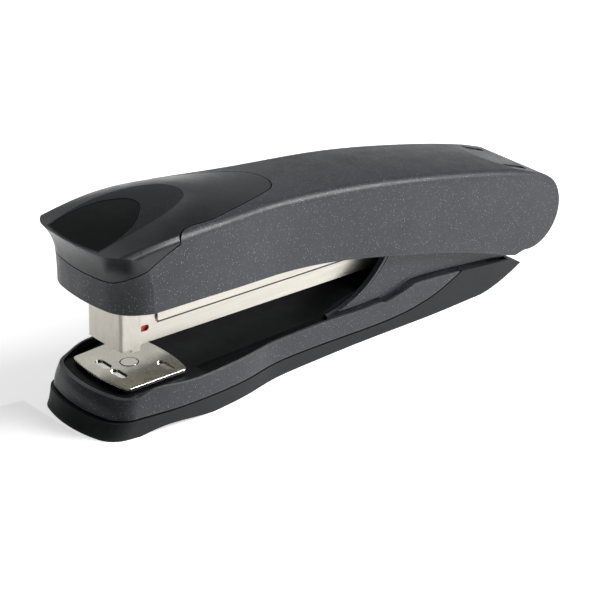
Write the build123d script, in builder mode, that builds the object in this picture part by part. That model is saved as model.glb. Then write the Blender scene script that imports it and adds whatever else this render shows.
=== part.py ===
"""Desktop stapler, built as separate pieces around one hinge pin.

Frame, in mm: +Z up, floor at z = 0, the stapling head towards -X, the hinge towards +X, symmetric
about y = 0. The origin is on the floor, under the middle of the length.
"""

from build123d import *
from math import cos, exp, radians, sin
import os

os.makedirs("parts", exist_ok=True)

# Hinge line that the magazine and the handle both turn about.
PIVOT_X = 77.0
PIVOT_Z = 22.0
MAGAZINE_TILT = 2.0
BLADE_TILT = 3.7
PIN_R = 2.0
RUNNING_GAP = 0.05

# Base.
RIM_FRONT_X = -86.9
FOOT_FRONT_X = -92.5
TAIL_X = 76.5
# Its plans flare towards the floor: height, front, half width at the front corners, and spread of
# the sides.
SHELL_LEVELS = [
    (3.0, -90.2, 18.2, 0.40),
    (5.7, -89.6, 18.2, 0.35),
    (9.0, -88.8, 18.2, 0.20),
    (12.3, -87.2, 18.0, 0.0),
    (14.5, -86.3, 17.9, 0.0),
]
SOLE_LEVELS = [
    (0.0, FOOT_FRONT_X, 17.9, 0.60),
    (1.6, -91.7, 18.0, 0.55),
    (5.4, -90.7, 18.3, 0.40),
    (14.5, -86.3, 17.9, 0.0),
]
SHELL_WALL = 0.8
DECK_Z = 11.0
BAND_Z = 11.3
GUTTER_Z = 9.8
SEAM_GAP = 0.6
SOLE_POCKET_Z = 4.2
STIFFENER_TOP_Z = 5.4
BRACKET_FLOOR_Z = 6.6

# Widths, as half distances from the middle plane, from the inside out.
CORE_OUT = 5.9
CHANNEL_IN = 6.6
CHANNEL_OUT = 7.2
RAIL_OUT = 8.0
NOSE_OUT = 8.1
FRAME_IN = 8.35
FRAME_OUT = 9.25
EAR_IN = 9.6
EAR_OUT = 10.8
CHEEK_IN = 11.3
CHEEK_OUT = 13.2
CHANNEL_RISE = 1.0
CHANNEL_STEP = 1.1
LIP_BEAD = 1.1
LIP_GROOVE = 0.45

# Anvil, turning in place on its rivet.
ANVIL_X = -70.0
ANVIL_BOTTOM_Z = 12.15
ANVIL_TOP_Z = 13.1
RIVET_SHANK_R = 2.0
RIVET_HEAD_R = 2.6
RIVET_SINK = 0.4
POCKET_WIDTH = 2.8
POCKET_DEPTH = 0.6

# Handle.
HANDLE_WALL = 1.8
HANDLE_EDGE_R = 2.8
REAR_CENTRE_X = 79.7
REAR_CENTRE_Z = 22.2
REAR_R = 12.8
CAP_GAP = 0.4
INLAY_DEPTH = 0.8
INLAY_GAP = 0.16
BADGE_DROP = 0.15
MARK_DEPTH = 1.3
WEB_THICK = 1.2
BLADE_FRONT = -153.9
BLADE_BACK = -153.2
FLANGE_BACK = -152.0
BLADE_RIVET_SPOTS = [(3, 18.5), (-3, 18.5)]
CAP_SCREW_X = -52.0
SHELL_SCREW_XS = (-8.0, 28.0)

# Heights along the magazine, measured square to its run from the hinge line.
CHANNEL_BOTTOM = -5.1
FLOOR_TOP = -4.5
CORE_TOP = 2.2
RAIL_BOTTOM = 1.1
RAIL_TOP = 4.0
RAIL_GAP = 0.4
RAIL_SEAT = 0.3
WALL_TOP = 6.5
ROD_HEIGHT = 6.4
ROD_R = 1.1
SEAT_BOTTOM = 9.6
SEAT_TOP = 10.4
STRIP_FRONT = -152.0
NOSE_FRONT = -155.6
NOSE_BACK = -148.4


def side_plane():
    """Upright plane along the length: its x is +X and its y is +Z."""
    return Plane(origin=(0, 0, 0), x_dir=(1, 0, 0), z_dir=(0, -1, 0))


def cross_plane(x):
    """Upright plane across the length at x: its x is +Y and its y is +Z."""
    return Plane(origin=(x, 0, 0), x_dir=(0, 1, 0), z_dir=(1, 0, 0))


def along(tilt):
    """Direction of a part's length when its nose is raised by tilt degrees about the hinge line."""
    return Vector(cos(radians(tilt)), 0, -sin(radians(tilt)))


def upward(tilt):
    return Vector(sin(radians(tilt)), 0, cos(radians(tilt)))


def tilted_point(run, rise, tilt=MAGAZINE_TILT):
    return Vector(PIVOT_X, 0, PIVOT_Z) + along(tilt) * run + upward(tilt) * rise


def tilted_side(tilt=MAGAZINE_TILT):
    """Upright plane through the hinge line, turned with a tilted part."""
    return Plane(origin=tilted_point(0, 0, tilt), x_dir=along(tilt), z_dir=(0, -1, 0))


def tilted_cross(run, tilt=MAGAZINE_TILT):
    """Plane square to a tilted part's length: its x is +Y and its y is the part's own up."""
    return Plane(origin=tilted_point(run, 0, tilt), x_dir=(0, 1, 0), z_dir=along(tilt))


def tilted_flat(rise, tilt=MAGAZINE_TILT):
    """Plane level with a tilted part, rise above the hinge line."""
    return Plane(origin=tilted_point(0, rise, tilt), x_dir=along(tilt), z_dir=upward(tilt))


def save(builder, label):
    builder.part.label = label
    export_step(builder.part, f"parts/{label}.step")


def wall_pair(view, inner, outer, mode=Mode.ADD):
    """Raise a side view into a left and a right wall, between two half widths."""
    for side in (1, -1):
        face = view.face().moved(Location((0, side * inner, 0)))
        extrude(face, amount=outer - inner, dir=(0, side, 0), mode=mode)


# ---------------------------------------------------------------- base

def base_outline(front_x, corner_y, spread, inset=0.0):
    """Plan of the base: bowed front, round corners, waisted sides and a square tail."""
    side_x = [-66.0, -52.0, -40.0, -30.0, -18.0, 0.0, 22.0, 40.0, 57.0, TAIL_X - inset]
    side_y = [20.1, 19.8, 18.3, 16.2, 15.4, 15.1, 15.5, 15.8, 15.4, 14.1]
    bow = (front_x + 1.7 + inset, corner_y - 6.0 - 0.7 * inset)
    start = (front_x + 8.2, corner_y - inset)
    with BuildLine() as plan:
        near = Spline(
            [start] + [(x, y + spread - inset) for x, y in zip(side_x, side_y)],
            tangents=[(1, 0.16), (1, -0.1)],
        )
        ThreePointArc(bow, (front_x + 4.3 + 0.7 * inset, corner_y - 1.8 - 0.72 * inset), start)
        mirror(about=Plane.XZ)
        ThreePointArc((bow[0], -bow[1]), (front_x + inset, 0), bow)
        Line(near @ 1, (TAIL_X - inset, -(near @ 1).Y))
    make_face(plan.edges())


def rim_plan(inset):
    base_outline(RIM_FRONT_X, 18.0, 0.0, inset)


def base_loft(levels):
    """Body of the base between plans at rising heights."""
    plans = []
    for z, front_x, corner_y, spread in levels:
        with BuildSketch(Plane.XY.offset(z)) as plan:
            base_outline(front_x, corner_y, spread)
        plans.append(plan.sketch.face())
    loft(plans)


def rim_face(height=0.0, top=40.0):
    """Side view of everything on one side of the base's rim, raised by height."""
    with BuildSketch(side_plane()) as beyond:
        with BuildLine():
            front = Line((-110, 11.9 + height), (-82, 11.9 + height))
            wide = Spline(
                front @ 1, (-76, 13.3 + height), (-66, 13.1 + height), (-52, 12.4 + height),
                (-38, 12.1 + height), (-20, 11.6 + height), (-3, 11.2 + height), (9, 10.5 + height),
                (16, 10.4 + height), (23, 11.1 + height),
                tangents=[(1, 0), (1, 0.2)],
            )
            step = Line(wide @ 1, (28.5, 12.6 + height))
            rear = Spline(
                step @ 1, (40, 11.9 + height), (57, 9.8 + height), (70, 7.7 + height),
                tangents=[(1, 0), (1, -0.25)],
            )
            tail = ThreePointArc(rear @ 1, (74, 6.3 + height), (TAIL_X + 0.3, 4.9 + height))
            Polyline(tail @ 1, (110, 4.4 + height), (110, top), (-110, top), front @ 0)
        make_face()
    return beyond.sketch


def parting_face(height, top=-20.0):
    """Side view of everything on one side of the line where the shell meets the sole."""
    with BuildSketch(side_plane()) as beyond:
        with BuildLine():
            flat = Line((-110, 5.4 + height), (-66, 5.3 + height))
            sag = Spline(
                flat @ 1, (-48, 4.8 + height), (-14, 4.3 + height), (14, 3.5 + height),
                (40, 7.3 + height), (52, 12 + height),
                tangents=[(1, 0), (1, 0.45)],
            )
            Polyline(sag @ 1, (70, 22 + height), (110, 22 + height), (110, top), (-110, top), flat @ 0)
        make_face()
    return beyond.sketch


def cut_rim_and_tail():
    """Trims the base to its rim, and lifts the tail clear of the floor behind the sole."""
    extrude(rim_face(), amount=60, both=True, mode=Mode.SUBTRACT)
    with BuildSketch(side_plane()) as under_tail:
        with BuildLine():
            lift = ThreePointArc((54, -0.5), (66, 1.7), (TAIL_X + 1.5, 5.4))
            Polyline(lift @ 1, (110, 5.4), (110, -10), (54, -10), lift @ 0)
        make_face()
    extrude(under_tail.sketch, amount=60, both=True, mode=Mode.SUBTRACT)


with BuildPart() as base_shell:
    base_loft(SHELL_LEVELS)
    cut_rim_and_tail()
    with BuildSketch(Plane.XY):
        rim_plan(SHELL_WALL)
    extrude(amount=40, mode=Mode.SUBTRACT)
    extrude(parting_face(SEAM_GAP), amount=60, both=True, mode=Mode.SUBTRACT)
save(base_shell, "base_shell")

SCREW_SPOTS = [(-44, 9), (-44, -9), (30, 7), (30, -7)]

with BuildPart() as base_sole:
    base_loft(SOLE_LEVELS)
    cut_rim_and_tail()
    # The underside rises a little between the front foot and the middle.
    with BuildSketch(side_plane()):
        with BuildLine():
            arch = Spline((-81, -0.2), (-77, 0.7), (-71.5, 1.4), (-62, 0.8), (-51, -0.2))
            Line(arch @ 1, arch @ 0)
        make_face()
    extrude(amount=60, both=True, mode=Mode.SUBTRACT)
    extrude(parting_face(0.0, top=60.0), amount=60, both=True, mode=Mode.SUBTRACT)
    with BuildSketch(Plane.XY.offset(SOLE_POCKET_Z)):
        rim_plan(3.2)
    extrude(amount=20, mode=Mode.SUBTRACT)
    with BuildSketch(Plane.XY.offset(SOLE_POCKET_Z)):
        with Locations((46, 0)):
            Rectangle(52, 2 * (CHEEK_OUT + 0.3))
    extrude(amount=20, mode=Mode.SUBTRACT)
    # Recess for the anvil's push button, and the sunk screw holes.
    with BuildSketch(Plane.XY):
        with Locations((ANVIL_X, 0)):
            Circle(6.2)
    extrude(amount=20, mode=Mode.SUBTRACT)
    with BuildSketch(Plane.XY):
        with Locations(*SCREW_SPOTS):
            Circle(2.9)
    extrude(amount=2.4, mode=Mode.SUBTRACT)
    with BuildSketch(Plane.XY):
        with Locations(*SCREW_SPOTS):
            Circle(1.5)
    extrude(amount=20, mode=Mode.SUBTRACT)
save(base_sole, "base_sole")

with BuildPart() as stiffener_plate:
    with BuildSketch(Plane.XY.offset(SOLE_POCKET_Z)):
        with Locations((-6, 0)):
            RectangleRounded(140, 22, 3)
        with Locations((ANVIL_X, 0)):
            Circle(RIVET_SHANK_R + 0.4, mode=Mode.SUBTRACT)
    extrude(amount=STIFFENER_TOP_Z - SOLE_POCKET_Z)
    with BuildSketch(Plane.XY.offset(SOLE_POCKET_Z)):
        with Locations(*SCREW_SPOTS):
            Circle(1.5)
    extrude(amount=5, mode=Mode.SUBTRACT)
save(stiffener_plate, "stiffener_plate")

with BuildPart() as base_screws:
    with BuildSketch(Plane.XY.offset(1.0)):
        with Locations(*SCREW_SPOTS):
            Circle(2.7)
    extrude(amount=1.4)
    with BuildSketch(Plane.XY.offset(1.0)):
        with Locations(*SCREW_SPOTS):
            Circle(1.45)
    extrude(amount=5.2)
    with BuildSketch(Plane.XY.offset(1.0)):
        with Locations(*SCREW_SPOTS):
            Rectangle(3.4, 0.6)
            Rectangle(0.6, 3.4)
    extrude(amount=0.7, mode=Mode.SUBTRACT)
save(base_screws, "base_screws")

with BuildPart() as deck:
    # Flat tray inside the rim, with a skirt down to the sole.
    with BuildSketch(Plane.XY.offset(SOLE_POCKET_Z)):
        rim_plan(SHELL_WALL + 0.08)
    extrude(amount=GUTTER_Z - SOLE_POCKET_Z)
    with BuildSketch(Plane.XY.offset(SOLE_POCKET_Z)):
        rim_plan(3.1)
    extrude(amount=GUTTER_Z - SOLE_POCKET_Z - 1.5, mode=Mode.SUBTRACT)
    # The skirt stops above the sole.
    extrude(parting_face(0.0), amount=60, both=True, mode=Mode.SUBTRACT)
    # Raised band round the anvil, and the raised paper panel behind it.
    with BuildSketch(Plane.XY.offset(GUTTER_Z)):
        rim_plan(SHELL_WALL + 0.08)
        with Locations((20, 0)):
            Rectangle(150, 60, mode=Mode.SUBTRACT)
    extrude(amount=BAND_Z - GUTTER_Z)
    with BuildSketch(Plane.XY.offset(GUTTER_Z)):
        with Locations((-30, 0)):
            Rectangle(56, 22.4)
    extrude(amount=DECK_Z - GUTTER_Z)
    # Behind the throat only the middle goes on, between the cheeks.
    with BuildSketch(Plane.XY):
        with Locations((46, 0)):
            Rectangle(101, 60)
            Rectangle(103, 2 * (CHEEK_IN - 0.3), mode=Mode.SUBTRACT)
    extrude(amount=40, mode=Mode.SUBTRACT)
    with BuildSketch(Plane.XY):
        with Locations((68, 0)):
            Rectangle(20, 60)
        with Locations((39, EAR_IN + 2), (39, -EAR_IN - 2)):
            Rectangle(42, 4.6)
    extrude(amount=40, mode=Mode.SUBTRACT)
    # Ramp that sweeps up under the magazine, narrower where it enters the hinge bracket.
    for rear_x, half_width in [(58, EAR_IN - 0.35), (17, CHEEK_IN - 0.3)]:
        with BuildSketch(side_plane()):
            with BuildLine():
                rise = Spline((-15, DECK_Z), (-4, 12.3), (6, 15.0), tangents=[(1, 0), (1, 0.15)])
                Polyline(rise @ 1, (rear_x, 15), (rear_x, GUTTER_Z), (-15, GUTTER_Z), (-15, DECK_Z))
            make_face()
        extrude(amount=half_width, both=True)
    # Well for the lift spring, and the bearing hole for the anvil's rivet.
    with BuildSketch(Plane.XY):
        with Locations((40, 0)):
            Circle(5.0)
        with Locations((ANVIL_X, 0)):
            Circle(RIVET_SHANK_R + RUNNING_GAP)
    extrude(amount=40, mode=Mode.SUBTRACT)
save(deck, "deck")


def cheek_lip(back):
    """Front edge of a cheek, moved back along the base."""
    return ThreePointArc((-4.5 + back, 11.4), (8.6 + back, 15.5), (19.3 + back, 25.8))


with BuildPart() as throat_housing:
    with BuildSketch(side_plane(), mode=Mode.PRIVATE) as cheek_view:
        with BuildLine():
            lip = cheek_lip(0.0)
            top = Polyline(lip @ 1, (24, 30), (PIVOT_X - 8, 30.8))
            back = ThreePointArc(top @ 1, (PIVOT_X + 9.3, PIVOT_Z + 2), (PIVOT_X - 3.4, PIVOT_Z - 9.3))
            Polyline(back @ 1, (71, 8.4), (66, 6.2), (-2, 6.2), lip @ 0)
        make_face()
    wall_pair(cheek_view.sketch, CHEEK_IN, CHEEK_OUT)
    # The cheeks step in above the rim, which leaves a channel outside them.
    wall_pair(rim_face(CHANNEL_RISE, top=-20.0), CHEEK_OUT - CHANNEL_STEP, CHEEK_OUT + 5, Mode.SUBTRACT)
    # Groove behind the front edge, which leaves a bead along it.
    with BuildSketch(side_plane(), mode=Mode.PRIVATE) as groove_view:
        with BuildLine():
            outer = cheek_lip(LIP_BEAD)
            inner = cheek_lip(LIP_BEAD + LIP_GROOVE)
            Line(outer @ 0, inner @ 0)
            Line(outer @ 1, inner @ 1)
        make_face()
    wall_pair(groove_view.sketch, CHEEK_OUT - LIP_GROOVE, CHEEK_OUT + 1, Mode.SUBTRACT)
    # Floor that ties the two cheeks together under the throat.
    with BuildSketch(Plane.XY.offset(6.2)):
        with Locations((8, 0)):
            Rectangle(13, 2 * CHEEK_OUT)
    extrude(amount=1.6)
save(throat_housing, "throat_housing")

with BuildPart() as hinge_bracket:
    with BuildSketch(side_plane(), mode=Mode.PRIVATE) as ear_view:
        with BuildLine():
            arc = ThreePointArc(
                (PIVOT_X - 3.5, PIVOT_Z + 6.1), (PIVOT_X + 7, PIVOT_Z), (PIVOT_X - 3.5, PIVOT_Z - 6.1)
            )
            Polyline(arc @ 1, (66, 8), (66, STIFFENER_TOP_Z), (20, STIFFENER_TOP_Z), (20, 11), arc @ 0)
        make_face()
    wall_pair(ear_view.sketch, EAR_IN, EAR_OUT)
    with BuildSketch(Plane.XY.offset(STIFFENER_TOP_Z)):
        with Locations((43, 0)):
            Rectangle(46, 2 * EAR_OUT)
    extrude(amount=BRACKET_FLOOR_Z - STIFFENER_TOP_Z)
    with BuildSketch(side_plane()):
        with Locations((PIVOT_X, PIVOT_Z)):
            Circle(PIN_R)
    extrude(amount=30, both=True, mode=Mode.SUBTRACT)
    with BuildSketch(Plane.XY):
        with Locations(*SCREW_SPOTS):
            Circle(1.45)
    extrude(amount=12, mode=Mode.SUBTRACT)
save(hinge_bracket, "hinge_bracket")

with BuildPart() as pivot_pin:
    with BuildSketch(side_plane()):
        with Locations((PIVOT_X, PIVOT_Z)):
            Circle(PIN_R)
    extrude(amount=CHEEK_IN, both=True)
    with BuildSketch(side_plane()):
        with Locations((PIVOT_X, PIVOT_Z)):
            Circle(PIN_R + 1.4)
    extrude(amount=CHEEK_IN, both=True)
    with BuildSketch(side_plane()):
        with Locations((PIVOT_X, PIVOT_Z)):
            Circle(PIN_R + 5)
            Circle(PIN_R, mode=Mode.SUBTRACT)
    extrude(amount=EAR_OUT, both=True, mode=Mode.SUBTRACT)
save(pivot_pin, "pivot_pin")


def coil(centre, height, radius, turns, direction):
    return Helix(pitch=height / turns, height=height, radius=radius, center=centre, direction=direction)


with BuildPart() as lift_spring:
    with BuildLine():
        lift_path = coil((40, 0, BRACKET_FLOOR_Z + 0.45), 10.2, 3.4, 4, (0, 0, 1))
    with BuildSketch(Plane(origin=lift_path @ 0, z_dir=lift_path % 0)):
        Circle(0.4)
    sweep()
save(lift_spring, "lift_spring")

# ---------------------------------------------------------------- anvil

with BuildPart() as anvil_plate:
    with BuildSketch(Plane.XY.offset(ANVIL_BOTTOM_Z)):
        with BuildLine():
            front = ThreePointArc((-80.6, 13.4), (-82.3, 0), (-80.6, -13.4))
            near = Line(front @ 1, (-59.6, -14.1))
            rear = ThreePointArc(near @ 1, (-57.6, 0), (-59.6, 14.1))
            Line(rear @ 1, front @ 0)
        make_face()
        fillet(vertices(), radius=1.6)
    extrude(amount=ANVIL_TOP_Z - ANVIL_BOTTOM_Z)
    fillet(faces().sort_by(Axis.Z)[-1].outer_wire().edges(), radius=0.3)
    # Curling pockets: a close pair in front, a spread pair behind.
    for pocket_x, near_y, far_y in [(-76.5, 0.6, 7.0), (-63.1, 5.0, 12.0)]:
        for side in (1, -1):
            with BuildSketch(Plane.XY.offset(ANVIL_TOP_Z)):
                with Locations((pocket_x, side * (near_y + far_y) / 2)):
                    SlotOverall(far_y - near_y, POCKET_WIDTH, rotation=90)
            extrude(amount=-POCKET_DEPTH, mode=Mode.SUBTRACT)
    with BuildSketch(Plane.XY):
        with Locations((ANVIL_X, 0)):
            Circle(RIVET_SHANK_R)
    extrude(amount=30, mode=Mode.SUBTRACT)
    # Round recess that the rivet's head sits in.
    with BuildSketch(Plane.XY.offset(ANVIL_TOP_Z - RIVET_SINK)):
        with Locations((ANVIL_X, 0)):
            Circle(RIVET_HEAD_R + 0.3)
    extrude(amount=2, mode=Mode.SUBTRACT)
save(anvil_plate, "anvil_plate")

with BuildPart() as anvil_rivet:
    with BuildSketch(Plane.XY.offset(3.0)):
        with Locations((ANVIL_X, 0)):
            Circle(RIVET_SHANK_R)
    extrude(amount=ANVIL_TOP_Z - RIVET_SINK - 3.0)
    with BuildSketch(Plane.XY.offset(ANVIL_TOP_Z - RIVET_SINK)):
        with Locations((ANVIL_X, 0)):
            Circle(RIVET_HEAD_R)
    extrude(amount=RIVET_SINK + 0.1)
    fillet(edges().sort_by(Axis.Z)[-1], radius=0.15)
save(anvil_rivet, "anvil_rivet")

with BuildPart() as anvil_button:
    with BuildSketch(Plane.XY.offset(0.8)):
        with Locations((ANVIL_X, 0)):
            Circle(5.7)
    extrude(amount=2.8)
    fillet(edges().sort_by(Axis.Z)[0], radius=0.5)
    with BuildSketch(Plane.XY.offset(3.0)):
        with Locations((ANVIL_X, 0)):
            Circle(RIVET_SHANK_R)
    extrude(amount=5, mode=Mode.SUBTRACT)
save(anvil_button, "anvil_button")

# ---------------------------------------------------------------- magazine


def rail_outline(grow):
    """Side view of a side rail, grown all round."""
    with Locations((-76, (RAIL_BOTTOM + RAIL_TOP) / 2)):
        RectangleRounded(132.6 + 2 * grow, RAIL_TOP - RAIL_BOTTOM + 2 * grow, 0.6)


with BuildPart() as magazine_channel:
    # Side view of the walls, with the ear round the pin at the rear.
    with BuildSketch(tilted_side(), mode=Mode.PRIVATE) as wall_view:
        with BuildLine():
            ear = ThreePointArc((0, 6), (6, 0), (0.5, CHANNEL_BOTTOM))
            Polyline(
                ear @ 1, (NOSE_FRONT + 0.9, CHANNEL_BOTTOM), (NOSE_FRONT + 0.9, WALL_TOP), (-62, WALL_TOP),
                (-52, SEAT_BOTTOM), (-12, SEAT_BOTTOM), ear @ 0,
            )
        make_face()
    wall_pair(wall_view.sketch, CHANNEL_IN, CHANNEL_OUT)
    # Shallow seat for each side rail, a little larger than the rail.
    with BuildSketch(tilted_side(), mode=Mode.PRIVATE) as seat_view:
        rail_outline(RAIL_GAP)
    wall_pair(seat_view.sketch, CHANNEL_OUT - RAIL_SEAT, CHANNEL_OUT, Mode.SUBTRACT)
    with BuildSketch(tilted_flat(CHANNEL_BOTTOM)):
        with Locations((STRIP_FRONT / 2 - 2, 0)):
            Rectangle(-STRIP_FRONT - 4, 2 * CHANNEL_OUT)
    extrude(amount=FLOOR_TOP - CHANNEL_BOTTOM)
    with BuildSketch(tilted_side()):
        Circle(PIN_R + RUNNING_GAP)
        # Sight window over the front of the staple strip.
        with Locations((-146.6, -0.35)):
            SlotOverall(3.4, 1.9)
    extrude(amount=30, both=True, mode=Mode.SUBTRACT)
save(magazine_channel, "magazine_channel")

with BuildPart() as staple_core:
    with BuildSketch(tilted_cross(STRIP_FRONT)):
        with Locations((0, (FLOOR_TOP + CORE_TOP) / 2)):
            Rectangle(2 * CORE_OUT, CORE_TOP - FLOOR_TOP)
        with Locations((0, (FLOOR_TOP + CORE_TOP) / 2 - 0.7)):
            Rectangle(2 * CORE_OUT - 1.4, CORE_TOP - FLOOR_TOP, mode=Mode.SUBTRACT)
    extrude(amount=-STRIP_FRONT - 24)
save(staple_core, "staple_core")

with BuildPart() as side_rails:
    with BuildSketch(tilted_side(), mode=Mode.PRIVATE) as rail_view:
        rail_outline(0.0)
    wall_pair(rail_view.sketch, CHANNEL_OUT - RAIL_SEAT, RAIL_OUT)
save(side_rails, "side_rails")

with BuildPart() as nose_housing:
    with BuildSketch(tilted_flat(CHANNEL_BOTTOM - 0.2)):
        with Locations(((NOSE_FRONT + NOSE_BACK) / 2, 0)):
            Rectangle(NOSE_BACK - NOSE_FRONT, 2 * NOSE_OUT)
        fillet(vertices().group_by(Axis.X)[0], radius=1.2)
        with Locations(((NOSE_FRONT + NOSE_BACK) / 2 + 0.8, 0)):
            Rectangle(NOSE_BACK - NOSE_FRONT, 2 * CHANNEL_OUT, mode=Mode.SUBTRACT)
    extrude(amount=21.8)
    # Foot on each side wall that holds the paper down behind the staple.
    with BuildSketch(tilted_side(), mode=Mode.PRIVATE) as foot_view:
        with Locations((-150.2, CHANNEL_BOTTOM - 0.6)):
            Rectangle(3.0, 1.4)
    wall_pair(foot_view.sketch, CHANNEL_OUT, NOSE_OUT)
save(nose_housing, "nose_housing")

with BuildPart() as rod_bridge:
    with BuildSketch(tilted_cross(-150.2)):
        with Locations((0, 6.9)):
            Rectangle(2 * CHANNEL_IN, 4.8)
        with Locations((0, ROD_HEIGHT)):
            Circle(ROD_R, mode=Mode.SUBTRACT)
    extrude(amount=1.0)
save(rod_bridge, "rod_bridge")

with BuildPart() as spring_anchor:
    with BuildSketch(tilted_cross(-22)):
        with Locations((0, (FLOOR_TOP + 9.2) / 2)):
            Rectangle(2 * CHANNEL_IN, 9.2 - FLOOR_TOP)
        with Locations((0, ROD_HEIGHT)):
            Circle(ROD_R, mode=Mode.SUBTRACT)
    extrude(amount=1.2)
save(spring_anchor, "spring_anchor")

with BuildPart() as guide_rod:
    with BuildSketch(tilted_cross(-150.2)):
        with Locations((0, ROD_HEIGHT)):
            Circle(ROD_R)
    extrude(amount=130)
save(guide_rod, "guide_rod")

with BuildPart() as spring_seat:
    with BuildSketch(tilted_flat(SEAT_BOTTOM)):
        with Locations((-32, 0)):
            Rectangle(18, 2 * CHANNEL_OUT)
    extrude(amount=SEAT_TOP - SEAT_BOTTOM)
    with BuildSketch(tilted_flat(SEAT_TOP)):
        with Locations((-32, 0)):
            Circle(2.4)
    extrude(amount=2.0)
save(spring_seat, "spring_seat")

with BuildPart() as return_spring:
    with BuildLine():
        return_path = coil(tilted_point(-32, SEAT_TOP + 0.45), 5.0, 3.6, 3, upward(MAGAZINE_TILT))
    with BuildSketch(Plane(origin=return_path @ 0, z_dir=return_path % 0)):
        Circle(0.4)
    sweep()
save(return_spring, "return_spring")

# ---------------------------------------------------------------- pusher

with BuildPart() as pusher:
    # Saddle over the core: a top plate with a skirt down each side.
    with BuildSketch(tilted_cross(STRIP_FRONT)):
        with Locations((0, 0.5)):
            Rectangle(12.7, 6.4)
        with Locations((0, -0.65)):
            Rectangle(2 * CORE_OUT + 0.16, 5.9, mode=Mode.SUBTRACT)
    extrude(amount=16)
    with BuildSketch(tilted_cross(-148.9)):
        with Locations((0, 6.2)):
            RectangleRounded(8, 5.6, 1.2)
    extrude(amount=9)
    with BuildSketch(tilted_cross(-160)):
        with Locations((0, ROD_HEIGHT)):
            Circle(ROD_R + RUNNING_GAP)
    extrude(amount=60, mode=Mode.SUBTRACT)
save(pusher, "pusher")

with BuildPart() as pusher_spring:
    with BuildLine():
        feed_path = coil(tilted_point(-139.5, ROD_HEIGHT), 117.0, 2.3, 26, along(MAGAZINE_TILT))
    with BuildSketch(Plane(origin=feed_path @ 0, z_dir=feed_path % 0)):
        Circle(0.3)
    sweep()
save(pusher_spring, "pusher_spring")

# ---------------------------------------------------------------- handle

# Along the handle: x, half width at the top edge, height of that edge, and rise of the crown.
HANDLE_STATIONS = [
    (-94.0, 20.7, 56.9, 0.6),
    (-86.0, 20.7, 57.7, 1.4),
    (-80.0, 20.8, 58.3, 2.6),
    (-72.0, 21.1, 58.8, 3.8),
    (-62.0, 21.0, 58.9, 4.6),
    (-50.0, 19.9, 58.2, 4.7),
    (-40.0, 18.5, 57.6, 3.4),
    (-30.0, 17.1, 56.9, 2.2),
    (-18.0, 16.3, 55.8, 1.3),
    (14.0, 16.5, 51.6, 1.0),
    (46.0, 16.3, 45.1, 1.0),
    (70.0, 15.75, 39.0, 1.0),
    (83.0, 15.5, 34.9, 1.0),
    (96.0, 15.3, 30.6, 1.0),
]

# Scooped front of the handle: it falls back from the lip towards FRONT_BACK_X, and flares forward
# again below the waist.
FRONT_BACK_X = -84.8
LIP_REACH = 5.0
LIP_Z = 57.8
SCOOP_FADE = 6.2
WAIST_Z = 50.0
WAIST_FLARE = 0.07
LIP_CORNER = 8.1
LOW_CORNER = 9.8
FRONT_LEVELS = [66.0 - 4.0 * level for level in range(9)]


def scoop_x(z):
    flare = WAIST_FLARE * max(WAIST_Z - z, 0)
    return FRONT_BACK_X - LIP_REACH * exp((z - LIP_Z) / SCOOP_FADE) - flare


def corner_reach(z):
    """How far the front corners are rounded, from tight at the lip to wider below the scoop."""
    return LOW_CORNER - (LOW_CORNER - LIP_CORNER) * exp((min(z, LIP_Z) - LIP_Z) / SCOOP_FADE)


def handle_outline(front_x, reach, inset):
    """Plan that trims only the handle's front and its two front corners."""
    x = front_x + inset
    bow_x, bow_y = x + 0.9, 20.7 - reach - inset
    mid_x, mid_y = bow_x + 0.26 * reach, 20.7 - 0.42 * reach - inset
    end_x, end_y = bow_x + 0.95 * reach, 21.0 - inset
    with BuildLine() as plan:
        ThreePointArc((bow_x, bow_y), (x, 0), (bow_x, -bow_y))
        near = ThreePointArc((bow_x, -bow_y), (mid_x, -mid_y), (end_x, -end_y))
        far = ThreePointArc((bow_x, bow_y), (mid_x, mid_y), (end_x, end_y))
        Polyline(near @ 1, (120, -26), (120, 26), far @ 1)
    make_face(plan.edges())


def handle_loft(inset, drop):
    """Crowned bar with the handle's front: inset from the sides and front, and lowered by drop."""
    sections = []
    for x, half_width, edge_z, crown in HANDLE_STATIONS:
        side = half_width - inset
        with BuildSketch(cross_plane(x)) as section:
            with BuildLine():
                top = ThreePointArc(
                    (-side, edge_z - drop), (0, edge_z + crown - drop), (side, edge_z - drop)
                )
                Polyline(top @ 1, (side, -10), (-side, -10), top @ 0)
            make_face()
            fillet(vertices().group_by(Axis.Y)[-1], radius=max(HANDLE_EDGE_R - inset, 0.4))
        sections.append(section.sketch.face())
    loft(sections)
    plans = []
    for z in FRONT_LEVELS:
        with BuildSketch(Plane.XY.offset(z - drop)) as plan:
            handle_outline(scoop_x(z), corner_reach(z), inset)
        plans.append(plan.sketch.face())
    front_trim = Solid.make_loft([plan.outer_wire() for plan in plans])
    below = Solid.extrude(plans[-1], (0, 0, -50))
    add(front_trim.fuse(below), mode=Mode.INTERSECT)


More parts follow.
